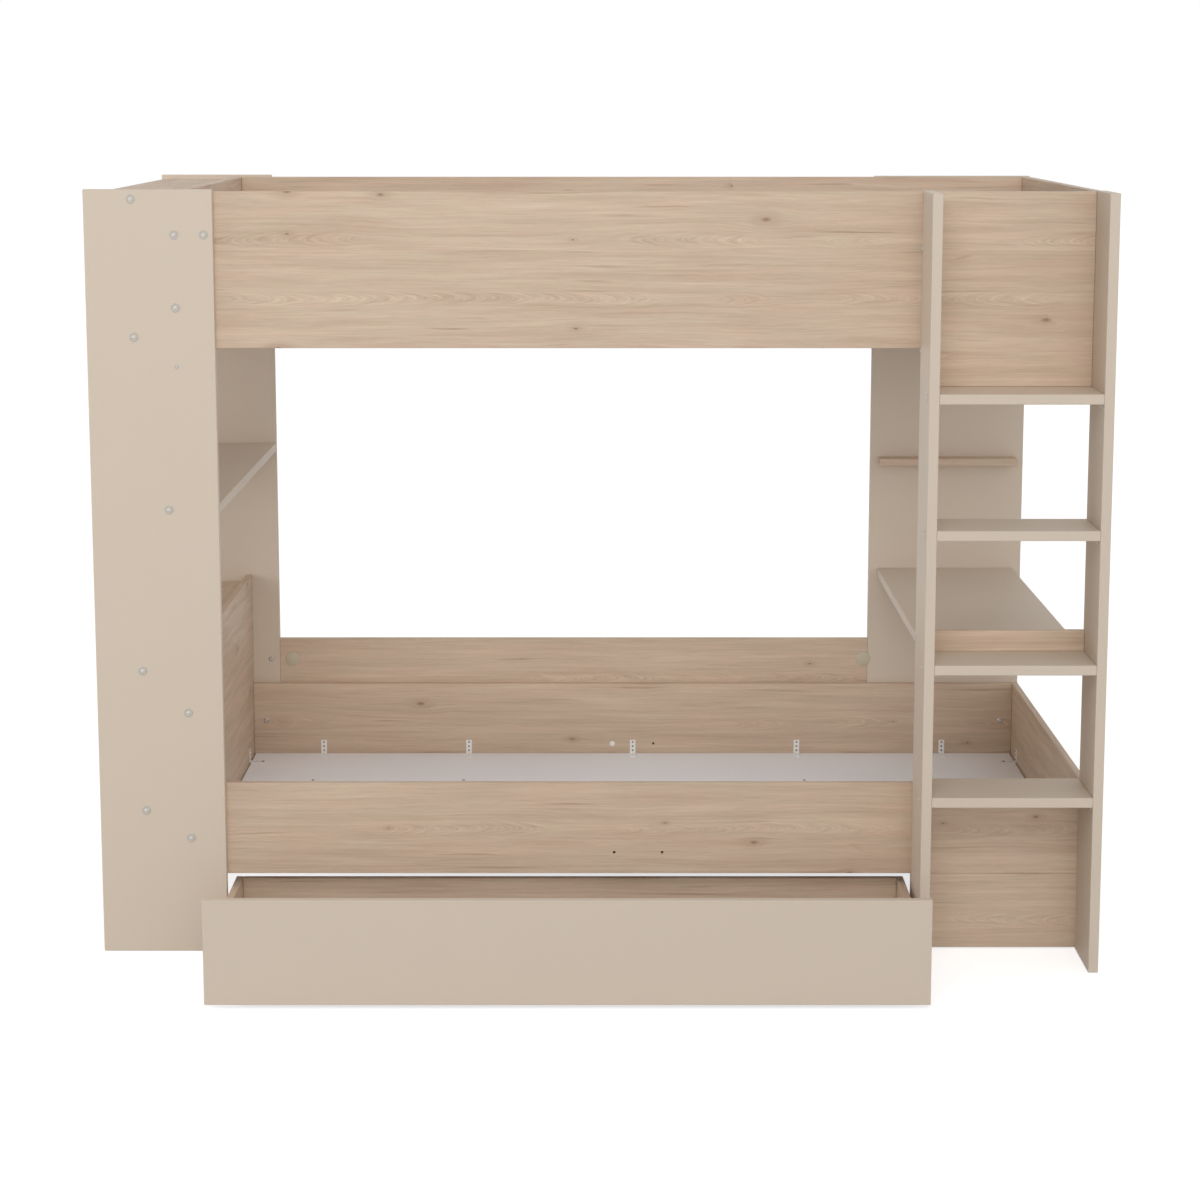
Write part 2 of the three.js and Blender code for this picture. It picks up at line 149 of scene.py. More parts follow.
# Wood decor: how deep each part of the figure goes, in tone and in the surface
BASE_DEPTH = 0.32
BROAD_DEPTH = 0.62
LINE_DEPTH = 0.62
FIBRE_DEPTH = 0.36
ARCH_DEPTH = 1.0
RING_DEPTH = 0.09
STREAK_DEPTH = 0.40
PORE_DEPTH = 0.10
HALO_DEPTH = 0.36
CORE_DEPTH = 0.74
BLOTCH_SWING = 3.2
WOOD_ROUGHNESS = (0.46, 0.58)
FIBRE_RELIEF = 0.5
WOOD_BUMP = 0.25
WOOD_RELIEF = 0.2 * MM

# Camera of the photograph
CAMERA_PLACE = (0.0112, -5.6025, 1.9344)
CAMERA_PITCH = 7.97
CAMERA_SENSOR = 36
CAMERA_LENS = 72.46
CAMERA_SHIFT = -0.14


def linear(colour):
    """An sRGB colour of three 0 to 255 values as linear RGBA."""
    shares = [value / 255 for value in colour]
    return [c / 12.92 if c <= 0.04045 else ((c + 0.055) / 1.055) ** 2.4 for c in shares] + [1.0]


def add_object(name, data):
    """A new object in the scene, at the origin."""
    thing = bpy.data.objects.new(name, data)
    bpy.context.scene.collection.objects.link(thing)
    return thing


def middle(node):
    """The middle of a solid's box."""
    low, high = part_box(node)
    return (low + high) / 2


# Node trees

def feed(tree, socket, value):
    """Links an output to a socket, or sets the socket's own value."""
    if isinstance(value, bpy.types.NodeSocket):
        tree.links.new(value, socket)
    else:
        socket.default_value = value


def add_node(tree, kind, inputs=(), **settings):
    """A node with its settings made and its inputs fed, by name or by place."""
    node = tree.nodes.new(kind)
    for name, value in settings.items():
        setattr(node, name, value)
    for key, value in dict(inputs).items():
        feed(tree, node.inputs[key], value)
    return node


def calc(tree, operation, *values, clamp=False):
    """The result of a Math node."""
    node = add_node(tree, "ShaderNodeMath", enumerate(values), operation=operation, use_clamp=clamp)
    return node.outputs[0]


def remap(tree, value, low, high, out_low=0.0, out_high=1.0):
    """A value eased from one range into another."""
    node = add_node(tree, "ShaderNodeMapRange", {
        "Value": value, "From Min": low, "From Max": high, "To Min": out_low, "To Max": out_high,
    }, interpolation_type="SMOOTHSTEP")
    return node.outputs["Result"]


def blend_colours(tree, share, first, second):
    """Two colours mixed by a share."""
    node = add_node(tree, "ShaderNodeMix", data_type="RGBA", blend_type="MIX")
    feed(tree, node.inputs[0], share)
    feed(tree, node.inputs[6], first)
    feed(tree, node.inputs[7], second)
    return node.outputs[2]


def vector_of(tree, x, y, z):
    """Three values as one vector."""
    return add_node(tree, "ShaderNodeCombineXYZ", {"X": x, "Y": y, "Z": z}).outputs[0]


def noise(tree, vector, scale, detail=2.0, roughness=0.5):
    """Soft noise from 0 to 1 over a place."""
    node = add_node(tree, "ShaderNodeTexNoise", {
        "Vector": vector, "Scale": scale, "Detail": detail, "Roughness": roughness,
    })
    return node.outputs[0]


def wood_group():
    """A printed wood decor, from a place given along, across and into the board.

    Planks lie side by side from the board's edge. Fine threads run along them, bend round the knots and
    part round a narrow band of nested arches.
    """
    tree = bpy.data.node_groups.new("wood_figure", "ShaderNodeTree")
    for name, kind in (
        ("Place", "NodeSocketVector"), ("Edge", "NodeSocketFloat"), ("Seed", "NodeSocketFloat"),
        ("Pale", "NodeSocketColor"), ("Warm", "NodeSocketColor"), ("Line", "NodeSocketColor"),
        ("Knot", "NodeSocketColor"),
    ):
        tree.interface.new_socket(name, in_out="INPUT", socket_type=kind)
    for name, kind in (
        ("Colour", "NodeSocketColor"), ("Roughness", "NodeSocketFloat"), ("Height", "NodeSocketFloat"),
    ):
        tree.interface.new_socket(name, in_out="OUTPUT", socket_type=kind)
    given = tree.nodes.new("NodeGroupInput").outputs
    seed = given["Seed"]
    along, across, into = add_node(tree, "ShaderNodeSeparateXYZ", {0: given["Place"]}).outputs

    def swing(value, reach, plus=0.0):
        """A noise value turned into a push of so much to either side."""
        return calc(tree, "MULTIPLY_ADD", calc(tree, "SUBTRACT", value, 0.5), reach, plus)

    def drawn_noise(lengthwise, crosswise, scales, third, detail=1.0, roughness=0.5):
        """Noise over a place, with a scale along the grain and another across it."""
        drawn = vector_of(tree, calc(tree, "MULTIPLY", lengthwise, scales[0]),
                          calc(tree, "MULTIPLY", crosswise, scales[1]), third)
        return noise(tree, drawn, 1.0, detail, roughness)

    # One plank after another from the edge, each with random values of its own
    rows = calc(tree, "DIVIDE", calc(tree, "SUBTRACT", given["Edge"], across), PLANK_WIDTH)
    index = calc(tree, "FLOOR", rows)
    row_share = calc(tree, "SUBTRACT", calc(tree, "FRACT", rows), BAND_SHARE)
    local = calc(tree, "MULTIPLY", row_share, PLANK_WIDTH)
    chance = add_node(tree, "ShaderNodeTexWhiteNoise", {"Vector": vector_of(tree, index, seed, 0.0)},
                      noise_dimensions="2D").outputs["Color"]
    lot = add_node(tree, "ShaderNodeSeparateColor", {0: chance}).outputs
    run = calc(tree, "MULTIPLY_ADD", lot[0], PLANK_SLIDE, along)
    lane = calc(tree, "MULTIPLY_ADD", index, PLANK_STEP, seed)

    # Knots
    knot_place = vector_of(tree, calc(tree, "DIVIDE", along, KNOT_SPACING),
                           calc(tree, "DIVIDE", across, KNOT_LANE), seed)
    cell = add_node(tree, "ShaderNodeTexVoronoi", {
        "Vector": knot_place, "Scale": 1.0, "Randomness": KNOT_LOOSENESS,
    }, feature="F1", voronoi_dimensions="3D")
    cell_lot = add_node(tree, "ShaderNodeSeparateColor", {0: cell.outputs["Color"]}).outputs
    gap = add_node(tree, "ShaderNodeVectorMath", {0: knot_place, 1: cell.outputs["Position"]},
                   operation="SUBTRACT").outputs[0]
    gap_axes = add_node(tree, "ShaderNodeSeparateXYZ", {0: gap}).outputs
    away_along = calc(tree, "MULTIPLY", gap_axes[0], KNOT_SPACING / KNOT_STRETCH)
    away_across = calc(tree, "MULTIPLY", gap_axes[1], KNOT_LANE)
    here = calc(tree, "GREATER_THAN", cell_lot[0], KNOT_RARITY)
    knot_size = remap(tree, cell_lot[1], 0.0, 1.0, *KNOT_SIZES)
    ragged = drawn_noise(along, across, KNOT_EDGE_SCALES, seed, detail=2.0)
    away_squared = calc(tree, "MULTIPLY_ADD", away_along, away_along,
                        calc(tree, "MULTIPLY", away_across, away_across))
    away = swing(ragged, KNOT_EDGE, calc(tree, "SQRT", away_squared))
    reach = calc(tree, "DIVIDE", away, knot_size)
    knot_core = calc(tree, "MULTIPLY", here, remap(tree, reach, *KNOT_CORE_FADE, 1.0, 0.0))
    knot_halo = calc(tree, "MULTIPLY", here, remap(tree, reach, *KNOT_HALO_FADE, 1.0, 0.0))
    ring = calc(tree, "SINE", calc(tree, "MULTIPLY", away, 2 * math.pi / KNOT_RING))
    knot_ring = calc(tree, "MULTIPLY", knot_halo, ring)
    push = calc(tree, "MULTIPLY", calc(tree, "MULTIPLY", knot_size, knot_size), KNOT_PUSH)
    bend = calc(tree, "DIVIDE", push, calc(tree, "MULTIPLY_ADD", push, KNOT_PUSH_EASE, away_squared))
    bend = calc(tree, "MULTIPLY", calc(tree, "MULTIPLY", bend, here), away_across)

    # Threads: how far a place lies across the plank once they have parted round knots and arches
    sway = drawn_noise(run, local, SWAY_SCALES, lane)
    ripple = drawn_noise(run, local, RIPPLE_SCALES, lane)
    side = calc(tree, "ADD", swing(ripple, RIPPLE_REACH, swing(sway, SWAY_REACH, local)), bend)
    opening_place = vector_of(tree, calc(tree, "MULTIPLY", run, OPENING_SCALE), lane, 0.0)
    opening = remap(tree, noise(tree, opening_place, 1.0, 1.0), *OPENING_CHANCE, *OPENING_SIZES)
    side_squared = calc(tree, "MULTIPLY", side, side)
    parted = calc(tree, "DIVIDE", side_squared,
                  calc(tree, "MULTIPLY_ADD", opening, opening, side_squared))
    thread = calc(tree, "MULTIPLY", side, parted)

    # Nested arches in the band, drawn out along the plank one way or the other
    way = calc(tree, "MULTIPLY_ADD", calc(tree, "GREATER_THAN", lot[1], 0.5), 2.0, -1.0)
    arch_step = calc(tree, "MULTIPLY_ADD", calc(tree, "MULTIPLY", run, way), 1 / ARCH_PITCH,
                     calc(tree, "MULTIPLY", side_squared, 1 / ARCH_WIDTH ** 2))
    arch_place = vector_of(tree, arch_step, calc(tree, "MULTIPLY", side, ARCH_WAVER), lane)
    arch = noise(tree, arch_place, 1.0, 2.0)
    near_squared, far_squared = (limit ** 2 for limit in ARCH_FADE)
    arch_share = calc(tree, "MULTIPLY", remap(tree, opening, *ARCH_OPENINGS),
                      remap(tree, side_squared, near_squared, far_squared, 1.0, 0.0))

    # Broad bands, lines, fibres and pores
    broad = drawn_noise(run, thread, BROAD_SCALES, lane)
    line_into = calc(tree, "MULTIPLY_ADD", into, LINE_SCALES[1], lane)
    line = drawn_noise(run, thread, LINE_SCALES, line_into, detail=2.0, roughness=FINE_NOISE)
    fibre_into = calc(tree, "MULTIPLY", into, FIBRE_SCALES[1])
    fibre = drawn_noise(run, side, FIBRE_SCALES, fibre_into, detail=2.0, roughness=FINE_NOISE)
    pore_into = calc(tree, "MULTIPLY", into, PORE_SCALES[1])
    pore = remap(tree, drawn_noise(run, side, PORE_SCALES, pore_into), *PORE_FADE)
    streak = remap(tree, drawn_noise(run, thread, STREAK_SCALES, lane, detail=0.0), *STREAK_FADE)
    blotch = drawn_noise(run, thread, BLOTCH_SCALES, lane, detail=2.0)

    darkness = swing(broad, BROAD_DEPTH, swing(line, LINE_DEPTH, swing(fibre, FIBRE_DEPTH, BASE_DEPTH)))
    darkness = calc(tree, "MULTIPLY_ADD", arch_share, swing(arch, ARCH_DEPTH), darkness)
    darkness = calc(tree, "MULTIPLY_ADD", knot_ring, RING_DEPTH, darkness)
    darkness = calc(tree, "MULTIPLY_ADD", streak, STREAK_DEPTH, darkness)
    darkness = calc(tree, "MULTIPLY_ADD", pore, PORE_DEPTH, darkness, clamp=True)
    colour = blend_colours(tree, swing(blotch, BLOTCH_SWING, 0.5), given["Pale"], given["Warm"])
    colour = blend_colours(tree, darkness, colour, given["Line"])
    colour = blend_colours(tree, calc(tree, "MULTIPLY", knot_halo, HALO_DEPTH), colour, given["Line"])
    colour = blend_colours(tree, calc(tree, "MULTIPLY", knot_core, CORE_DEPTH), colour, given["Knot"])
    result = tree.nodes.new("NodeGroupOutput").inputs
    tree.links.new(colour, result["Colour"])
    tree.links.new(remap(tree, line, *NOISE_SPAN, *WOOD_ROUGHNESS), result["Roughness"])
    fibre_height = calc(tree, "MULTIPLY", fibre, FIBRE_RELIEF)
    tree.links.new(calc(tree, "SUBTRACT", fibre_height, pore), result["Height"])
    return tree


# Finishes

def new_material(name):
    """An empty node material, its tree and its principled shader."""
    material = bpy.data.materials.new(name)
    material.use_nodes = True
    tree = material.node_tree
    return material, tree, tree.nodes["Principled BSDF"]


def add_bump(tree, shader, height, strength, distance):
    """Gives a shader the small relief of a height."""
    bump = add_node(tree, "ShaderNodeBump", {
        "Height": height, "Strength": strength, "Distance": distance,
    })
    tree.links.new(bump.outputs[0], shader.inputs["Normal"])


def object_place(tree):
    """The place of a surface point on its own object."""
    return tree.nodes.new("ShaderNodeTexCoord").outputs["Object"]


def wood_material(name, seed, axes, edge, tones):
    """Wood whose grain runs along the first of three axes, and whose faces lie across the third.

    edge is where the first plank begins on the second axis.
    """
    material, tree, shader = new_material(name)
    parts = add_node(tree, "ShaderNodeSeparateXYZ", {0: object_place(tree)}).outputs
    turned = vector_of(tree, *(parts["XYZ".index(axis)] for axis in axes))
    figure = add_node(tree, "ShaderNodeGroup", node_tree=wood_figure)
    feed(tree, figure.inputs["Place"], turned)
    feed(tree, figure.inputs["Edge"], edge)
    feed(tree, figure.inputs["Seed"], seed)
    for socket, colour in zip(("Pale", "Warm", "Line", "Knot"), tones):
        feed(tree, figure.inputs[socket], linear(colour))
    shader.inputs["Specular IOR Level"].default_value = BOARD_GLOSS
    tree.links.new(figure.outputs["Colour"], shader.inputs["Base Color"])
    tree.links.new(figure.outputs["Roughness"], shader.inputs["Roughness"])
    add_bump(tree, shader, figure.outputs["Height"], WOOD_BUMP, WOOD_RELIEF)
    return material


def speckled_material(name, colour, shade, roughness, grain, bump, metallic=0.0, cloud=6.0, gloss=0.5):
    """A moulded, sheet or lacquered finish: a faint cloud of tone and a fine grain in its surface."""
    material, tree, shader = new_material(name)
    spot = object_place(tree)
    clouds = noise(tree, spot, cloud, detail=3.0)
    specks = noise(tree, spot, grain, roughness=FINE_NOISE)
    cloud_share = calc(tree, "MULTIPLY", clouds, CLOUD_TINT)
    share = calc(tree, "MULTIPLY_ADD", specks, SPECK_TINT, cloud_share, clamp=True)
    mixed = blend_colours(tree, share, linear(colour), linear(shade))
    tree.links.new(mixed, shader.inputs["Base Color"])
    speck_roughness = remap(
        tree, specks, *NOISE_SPAN, roughness - ROUGHNESS_DROP, roughness + ROUGHNESS_RISE)
    tree.links.new(speck_roughness, shader.inputs["Roughness"])
    shader.inputs["Metallic"].default_value = metallic
    shader.inputs["Specular IOR Level"].default_value = gloss
    add_bump(tree, shader, specks, bump, SPECK_RELIEF)
    return material


def paint_rim_shade(material, rim):
    """Paints shade into a turned shape's colour: a darker ring outside its dome."""
    tree = material.node_tree
    target = tree.nodes["Principled BSDF"].inputs["Base Color"]
    inner = target.links[0].from_socket
    share = add_node(tree, "ShaderNodeAttribute", attribute_name="rim_share").outputs["Fac"]
    tree.links.new(blend_colours(tree, remap(tree, share, *RIM_SHADE_FADE), inner, linear(rim)), target)


wood_figure = wood_group()
greige_lacquer = speckled_material(
    "greige_lacquer", GREIGE, GREIGE_SHADE, roughness=0.50, grain=1500.0, bump=0.06, gloss=BOARD_GLOSS)
white_sheet = speckled_material(
    "white_sheet", WHITE_SHEET, WHITE_SPECK, roughness=0.50, grain=900.0, bump=0.06, gloss=BOARD_GLOSS)
zinc_steel = speckled_material(
    "zinc_steel", ZINC, ZINC_DULL, roughness=0.38, grain=2600.0, bump=0.12, metallic=0.2, cloud=120.0)
bolt_steel = speckled_material(
    "bolt_steel", STEEL, STEEL_DULL, roughness=0.30, grain=2600.0, bump=0.12, metallic=0.9, cloud=120.0)
# Screws darkened partly as painted shade of their holes
screw_steel_painted_shade = speckled_material(
    "screw_steel_painted_shade", SCREW_PAINTED_SHADE, SCREW_PAINTED_SHADE_DULL, roughness=0.34, grain=2600.0, bump=0.12, metallic=0.9, cloud=120.0)
# The floors of drilled holes, near black as painted shade
bore_painted_shade = speckled_material(
    "bore_painted_shade", BORE_PAINTED_SHADE, BORE_PAINTED_SHADE_DEEP, roughness=0.85, grain=900.0, bump=0.3, gloss=BOARD_GLOSS)
cap_plastic = speckled_material(
    "cap_plastic", CAP, CAP_SHADE, roughness=0.38, grain=3000.0, bump=0.08, gloss=0.3)
# The caps get a ring of painted shade outside their domes
paint_rim_shade(cap_plastic, CAP_RIM_PAINTED_SHADE)
disc_plastic = speckled_material(
    "disc_plastic", DISC, DISC_SHADE, roughness=0.42, grain=3000.0, bump=0.08)
shell_plastic = speckled_material(
    "shell_plastic", SHELL, SHELL_SHADE, roughness=0.48, grain=2200.0, bump=0.25)
tyre_rubber = speckled_material(
    "tyre_rubber", TYRE, TYRE_SHADE, roughness=0.72, grain=2500.0, bump=0.30)
hub_plastic = speckled_material(
    "hub_plastic", HUB, HUB_SHADE, roughness=0.42, grain=2500.0, bump=0.15)

OAK_TONES = (OAK_PALE, OAK_WARM, OAK_LINE, OAK_KNOT)
PINE_TONES = (PINE_PALE, PINE_WARM, PINE_LINE, PINE_KNOT)
SLOT_FINISHES = {
    "greige_lacquer": greige_lacquer,
    "white_sheet": white_sheet,
    "zinc_steel": zinc_steel,
    "castor_shell": shell_plastic,
    "castor_tyre": tyre_rubber,
}


def board_axes(node):
    """The axes of a board in order of its size, the longest first: the grain runs along the first."""
    low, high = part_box(node)
    size = high - low
    return sorted("XYZ", key=lambda axis: -size["XYZ".index(axis)])


def finish_nodes():
    """Gives every solid its finish. Each wooden board gets a cut of its own from the decor."""
    for number, row in enumerate(frame["record"]["subparts"], start=1):
        node = row["node"]
        slot = row["material_slot"]
        if slot in ("oak_decor", "raw_batten"):
            axes = ["X", "Z", "Y"] if node == "ladder_infill_panel" else board_axes(node)
            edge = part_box(node)[1]["XYZ".index(axes[1])]
            tones = OAK_TONES if slot == "oak_decor" else PINE_TONES
            finish = wood_material(f"wood_{node}", BOARD_STEP * number, axes, edge, tones)
        else:
            finish = SLOT_FINISHES[slot]
        mesh = frame["nodes"][node].data
        mesh.materials.clear()
        mesh.materials.append(finish)


finish_nodes()


# Small shapes that are placed many times, each sunk into its board by its root

ROOT = 0.5 * MM
CAP_RADIUS = 10.2 * MM
CAP_FLANGE = 1.3 * MM
CAP_GROOVE_RADIUS = 6.0 * MM
CAP_GROOVE_FLOOR = 0.4 * MM
CAP_DOME_RADIUS = 4.8 * MM
CAP_DOME_RINGS = 5
CAP_HEIGHT = 3.4 * MM
CAP_STEPS = 32
SCREW_RADIUS = 4 * MM
SCREW_CROWN = 1.3 * MM
SCREW_RINGS = 6
SCREW_STEPS = 24
RECESS_REACH = 2.5 * MM
RECESS_HALF_WIDTH = 0.65 * MM
RECESS_DEPTH = 1.1 * MM
COVER_RADIUS = 19 * MM
COVER_FLAT_SHARE = 0.94
COVER_THICKNESS = 1.2 * MM
COVER_STEPS = 40
BORE_RADIUS = 3.2 * MM
BORE_DEPTH = 6 * MM
BORE_FLOOR = 1 * MM
BORE_STEPS = 16
CLIP_LEG = 14 * MM
CLIP_METAL = 1.6 * MM
CLIP_HALF_WIDTH = 7 * MM


def mesh_object(name, points, faces, smooth=False):
    """A new object with a mesh of points and faces."""
    mesh = bpy.data.meshes.new(name)
    mesh.from_pydata(points, [], faces)
    mesh.update()
    for polygon in mesh.polygons:
        polygon.use_smooth = smooth
    return add_object(name, mesh)


def turned_shape(name, profile, steps, relief=lambda x, y: 0):
    """A closed shape turned round Z from (radius, height) points, the first and last on the axis.

    relief gives how far a point of the shape is pressed in.
    """
    points = [(0, 0, profile[0][1] - relief(0, 0))]
    for radius, height in profile[1:-1]:
        for step in range(steps):
            angle = 2 * math.pi * step / steps
            x = radius * math.cos(angle)
            y = radius * math.sin(angle)
            points.append((x, y, height - relief(x, y)))
    points.append((0, 0, profile[-1][1]))
    rings = len(profile) - 2
    last = len(points) - 1
    faces = []
    for step in range(steps):
        after = (step + 1) % steps
        faces.append((0, 1 + step, 1 + after))
        faces.append((last, 1 + (rings - 1) * steps + after, 1 + (rings - 1) * steps + step))
        for ring in range(rings - 1):
            start = 1 + ring * steps
            faces.append((start + step, start + steps + step, start + steps + after, start + after))
    shape = mesh_object(name, points, faces, smooth=True)
    # Each point's share of the widest reach, which the cap finish reads to paint shade towards the rim
    widest = max(radius for radius, _ in profile)
    rim = shape.data.attributes.new("rim_share", "FLOAT", "POINT")
    for number, point in enumerate(points):
        rim.data[number].value = math.hypot(point[0], point[1]) / widest
    return shape


def cross_recess(x, y):
    """Depth of a cross-head recess at a point of the screw's crown."""
    nearest = min(abs(x), abs(y))
    furthest = max(abs(x), abs(y))
    inside = nearest < RECESS_HALF_WIDTH and furthest < RECESS_REACH
    return RECESS_DEPTH * (1 - furthest / RECESS_REACH / 2) if inside else 0


def cap_shape():
    """A cover cap: a low dome, a groove round it and a flat flange."""
    dome = []
    for ring in range(CAP_DOME_RINGS):
        angle = math.pi / 2 * ring / CAP_DOME_RINGS
        dome.append((CAP_DOME_RADIUS * math.sin(angle), CAP_HEIGHT * math.cos(angle)))
    return turned_shape("cap_shape", dome + [
        (CAP_DOME_RADIUS, CAP_GROOVE_FLOOR), (CAP_GROOVE_RADIUS, CAP_GROOVE_FLOOR),
        (CAP_GROOVE_RADIUS + CAP_FLANGE / 2, CAP_FLANGE), (CAP_RADIUS - CAP_FLANGE, CAP_FLANGE),
        (CAP_RADIUS, CAP_FLANGE / 4), (CAP_RADIUS, -ROOT), (0, -ROOT),
    ], CAP_STEPS)


def screw_shape():
    """A screw's domed head with a cross in it."""
    profile = []
    for ring in range(SCREW_RINGS + 1):
        share = ring / SCREW_RINGS
        profile.append((SCREW_RADIUS * share, SCREW_CROWN * (1 - share ** 3)))
    profile += [(SCREW_RADIUS, -ROOT), (0, -ROOT)]
    return turned_shape("screw_shape", profile, SCREW_STEPS, cross_recess)


def cover_shape():
    """A flat round disc with an eased edge."""
    return turned_shape("cover_shape", [
        (0, COVER_THICKNESS), (COVER_RADIUS * COVER_FLAT_SHARE, COVER_THICKNESS),
        (COVER_RADIUS, COVER_THICKNESS / 2), (COVER_RADIUS, -ROOT), (0, -ROOT),
    ], COVER_STEPS)


def bore_shape():
    """The floor of a drilled hole."""
    profile = [(0, 0), (BORE_RADIUS, 0), (BORE_RADIUS, -BORE_FLOOR), (0, -BORE_FLOOR)]
    return turned_shape("bore_shape", profile, BORE_STEPS)


def strap_shape():
    """The perforated strap of the solids, moved so that its heel lies at the origin."""
    low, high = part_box("base_bracket_1")
    heel = Vector(((low.x + high.x) / 2, high.y, low.z))
    mesh = frame["nodes"]["base_bracket_1"].data.copy()
    joined = bmesh.new()
    joined.from_mesh(mesh)
    bmesh.ops.remove_doubles(joined, verts=joined.verts, dist=MM / 100)
    joined.to_mesh(mesh)
    joined.free()
    mesh.transform(Matrix.Translation(-heel))
    return add_object("strap_shape", mesh)


def clip_shape():
    """A small bent clip that holds a step, with its heel at the origin and its legs along +X and -Z."""
    outline = [(0, 0), (CLIP_LEG, 0), (CLIP_LEG, -CLIP_METAL), (CLIP_METAL, -CLIP_METAL),
               (CLIP_METAL, -CLIP_LEG), (0, -CLIP_LEG)]
    points = [(x, side * CLIP_HALF_WIDTH, z) for side in (-1, 1) for x, z in outline]
    count = len(outline)
    faces = [tuple(range(count)), tuple(reversed(range(count, 2 * count)))]
    for corner in range(count):
        after = (corner + 1) % count
        faces.append((corner, corner + count, after + count, after))
    return mesh_object("clip_shape", points, faces)


shapes = {
    "cap": cap_shape(),
    "cover": cover_shape(),
    "screw": screw_shape(),
    "bore": bore_shape(),
    "strap": strap_shape(),
    "clip": clip_shape(),
}


# Copies of a small shape at many places

def placing_tree():
    """Geometry Nodes that set one shape on every point, turned and sized by the point's own values."""
    tree = bpy.data.node_groups.new("place_copies", "GeometryNodeTree")
    for name, kind in (
        ("Spots", "NodeSocketGeometry"), ("Shape", "NodeSocketObject"), ("Size", "NodeSocketFloat"),
        ("Finish", "NodeSocketMaterial"),
    ):
        tree.interface.new_socket(name, in_out="INPUT", socket_type=kind)
    tree.interface.new_socket("Copies", in_out="OUTPUT", socket_type="NodeSocketGeometry")
    given = tree.nodes.new("NodeGroupInput").outputs
    shape = add_node(tree, "GeometryNodeObjectInfo", {"Object": given["Shape"]})
    turn = add_node(tree, "GeometryNodeInputNamedAttribute", {"Name": "turn"}, data_type="FLOAT_VECTOR")
    rotation = add_node(tree, "FunctionNodeEulerToRotation", {0: turn.outputs[0]})
    share = add_node(tree, "GeometryNodeInputNamedAttribute", {"Name": "size_share"}, data_type="FLOAT")
    size = calc(tree, "MULTIPLY", share.outputs[0], given["Size"])
    copies = add_node(tree, "GeometryNodeInstanceOnPoints", {
        "Points": given["Spots"], "Instance": shape.outputs["Geometry"], "Rotation": rotation.outputs[0],
        "Scale": size,
    })
    real = add_node(tree, "GeometryNodeRealizeInstances", {0: copies.outputs[0]})
    finished = add_node(tree, "GeometryNodeSetMaterial", {
        "Geometry": real.outputs[0], "Material": given["Finish"],
    })
    result = tree.nodes.new("NodeGroupOutput").inputs
    tree.links.new(finished.outputs[0], result["Copies"])
    return tree


place_copies = placing_tree()
FACING = {
    "front": (math.pi / 2, 0, 0),
    "back": (-math.pi / 2, 0, 0),
    "left": (0, -math.pi / 2, 0),
    "right": (0, math.pi / 2, 0),
    "up": (0, 0, 0),
    "down": (math.pi, 0, 0),
}


def place(name, shape, spots, finish, body="bed", size=1.0):
    """One piece made of copies of a shape. Each spot is a place, a turn and a share of the size."""
    mesh = bpy.data.meshes.new(name)
    mesh.from_pydata([spot[0] for spot in spots], [], [])
    mesh.attributes.new("turn", "FLOAT_VECTOR", "POINT")
    mesh.attributes.new("size_share", "FLOAT", "POINT")
    for number, (_, facing, size_share) in enumerate(spots):
        turn = FACING[facing] if isinstance(facing, str) else facing
        mesh.attributes["turn"].data[number].vector = turn
        mesh.attributes["size_share"].data[number].value = size_share
    thing = add_object(name, mesh)
    modifier = thing.modifiers.new("copies", "NODES")
    modifier.node_group = place_copies
    inputs = {item.name: item.identifier for item in place_copies.interface.items_tree
              if item.in_out == "INPUT"}
    modifier[inputs["Shape"]] = shape
    modifier[inputs["Size"]] = size
    modifier[inputs["Finish"]] = finish
    bpy.context.view_layer.update()
    evaluated = thing.evaluated_get(bpy.context.evaluated_depsgraph_get())
    made = bpy.data.meshes.new_from_object(evaluated)
    thing.modifiers.clear()
    thing.data = made
    made.name = name
    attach(thing, body)


def spots_on(face, direction, x_and_z, size_share=1.0):
    """Spots on an upright face that looks to the front or the back."""
    return [((x, face, z), direction, size_share) for x, z in x_and_z]


# Fittings of the tower, its panels bolted to the shelves and to the head boards of both bunks

SHELF_BOLT_SETBACK = 104 * MM
MIDDLE_SHELF_BOLT_SETBACK = 171.7 * MM
GUARD_BOLT_SETBACK = 20 * MM
UPPER_BOLT_DROP = 94 * MM
UPPER_BOLT_PITCH = 160 * MM
LOWER_BOLT_DROP = 123 * MM
LOWER_BOLT_RISE = 89.5 * MM
PLUG_DROP = 384 * MM
PLUG_SHARE = 0.5
JOINT_DROP = 54.5 * MM
PIN_SETBACK = 23.2 * MM
PIN_SHARE = 1.75


def tower_caps():
    """Where the tower's bolts are capped, and its one small plug, as places across and up its panels."""
    front_low, front_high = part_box("tower_front_panel")
    upper_x = middle("upper_head_board").x
    upper_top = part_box("upper_head_board")[1].z
    upper_z = upper_top - UPPER_BOLT_DROP
    lower_x = middle("lower_head_board").x
    lower_low, lower_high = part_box("lower_head_board")
    places = [(front_low.x + SHELF_BOLT_SETBACK, middle(f"tower_{name}").z)
              for name in ("top_board", "upper_shelf", "lower_shelf", "bottom_shelf")]
    places.append((front_low.x + MIDDLE_SHELF_BOLT_SETBACK, middle("tower_middle_shelf").z))
    places += [(upper_x, upper_z), (upper_x, upper_z - UPPER_BOLT_PITCH),
               (front_high.x - GUARD_BOLT_SETBACK, upper_z)]
    places += [(lower_x, lower_high.z - LOWER_BOLT_DROP), (lower_x, lower_low.z + LOWER_BOLT_RISE)]
    return places, (upper_x, upper_top - PLUG_DROP)


